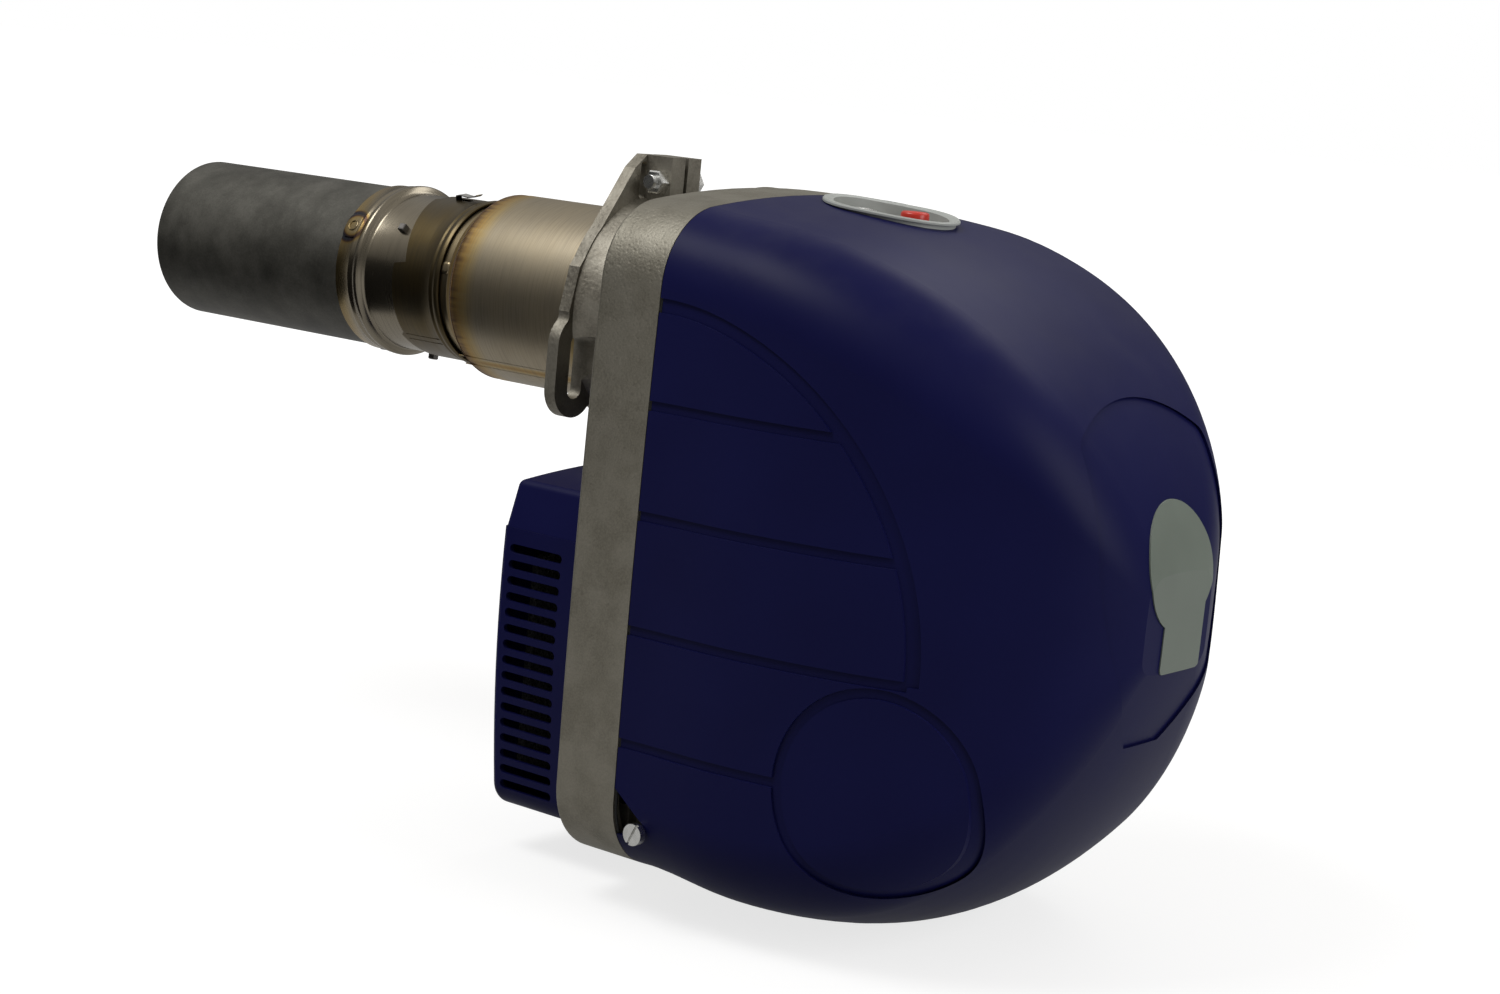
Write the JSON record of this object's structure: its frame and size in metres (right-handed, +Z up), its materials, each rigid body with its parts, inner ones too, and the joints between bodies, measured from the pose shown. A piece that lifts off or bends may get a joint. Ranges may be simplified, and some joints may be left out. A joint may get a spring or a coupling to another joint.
{
  "type": "industrial gas burner",
  "caption": "Forced-draught gas burner: slotted clamp flange, long recirculating flame tube, cast fan housing, moulded hood and slotted air intake box.",
  "frame": {"origin": "centre of the clamp flange's boiler-side face, on the blast-tube axis", "axes": "+X along the blast tube towards the hood, +Z up, -Y the side with the cheek shown first; the flame leaves towards -X"},
  "size_m": [0.7538, 0.3305, 0.4057],
  "materials": {
    "hood_plastic": "satin navy moulded shell",
    "cast_aluminium": "sand-cast and blasted",
    "scaled_steel": "dark matt heat-resisting steel",
    "tube_steel": "heat-tinted, brushed",
    "sleeve_steel": "oxidised",
    "zinc_steel": "zinc plated",
    "grey_plastic": "matt",
    "red_plastic": "gloss",
    "dark_plastic": "matt",
    "brass": "machined",
    "ceramic": "glazed ceramic",
    "foam": "open-cell foam"
  },
  "bodies": {
    "burner": {"air_throat": "cast_aluminium", "baffle_disc": "tube_steel", "bayonet_ring": "tube_steel", "blast_tube": "tube_steel", "clamp_flange": "cast_aluminium", "collar_rivets": "tube_steel", "control_base": "dark_plastic", "control_box": "dark_plastic", "damper_servo": "dark_plastic", "electrode_clamp": "zinc_steel", "fan_housing": "cast_aluminium", "fan_scroll": "cast_aluminium", "flame_collar": "tube_steel", "flame_tube": "scaled_steel", "gas_inlet": "cast_aluminium", "gas_inlet_screws": "zinc_steel", "gas_lance": "zinc_steel", "gas_nozzle": "brass", "hood_screws": "zinc_steel", "ignition_ceramics": "ceramic", "ignition_rods": "tube_steel", "ignition_transformer": "dark_plastic", "intake_cap": "hood_plastic", "intake_cover": "hood_plastic", "intake_lining": "foam", "lance_spider": "zinc_steel", "motor_capacitor": "grey_plastic", "motor_front_bell": "cast_aluminium", "motor_plate": "zinc_steel", "motor_rear_bell": "cast_aluminium", "motor_stator": "zinc_steel", "pinch_bolt": "zinc_steel", "pinch_nut": "zinc_steel", "plate_screws": "zinc_steel", "sensor_ceramic": "ceramic", "sensor_rod": "tube_steel", "tube_socket": "cast_aluminium"},
    "fan": {"fan_wheel": "zinc_steel", "fan_hub": "cast_aluminium", "motor_shaft": "zinc_steel"},
    "damper": {"damper_flap": "cast_aluminium", "damper_spindle": "zinc_steel"},
    "reset": {"reset_button": "red_plastic"},
    "hood": {"hood": "hood_plastic", "window_ring": "grey_plastic", "label_plate": "grey_plastic"},
    "sleeve": {"recirculation_sleeve": "sleeve_steel", "sleeve_screws": "zinc_steel"}
  },
  "joints": [
    {"name": "fan_spin", "type": "hinge", "parent": "burner", "child": "fan", "pos_m": [0.124, 0, -0.15], "axis": [1, 0, 0], "continuous": true},
    {"name": "damper_turn", "type": "hinge", "parent": "burner", "child": "damper", "pos_m": [0.056, 0, -0.15], "axis": [0, 1, 0], "range_deg": [0, 90]},
    {"name": "reset_press", "type": "slide", "parent": "burner", "child": "reset", "axis": [0, 0, -1], "range_m": [0, 0.003], "stiffness_N_per_m": 400},
    {"name": "hood_draw_off", "type": "slide", "parent": "burner", "child": "hood", "axis": [1, 0, 0], "range_m": [0, 0.3]},
    {"name": "sleeve_turn", "type": "hinge", "parent": "burner", "child": "sleeve", "pos_m": [-0.16, 0, 0], "axis": [1, 0, 0], "range_deg": [-15, 15]}
  ]
}
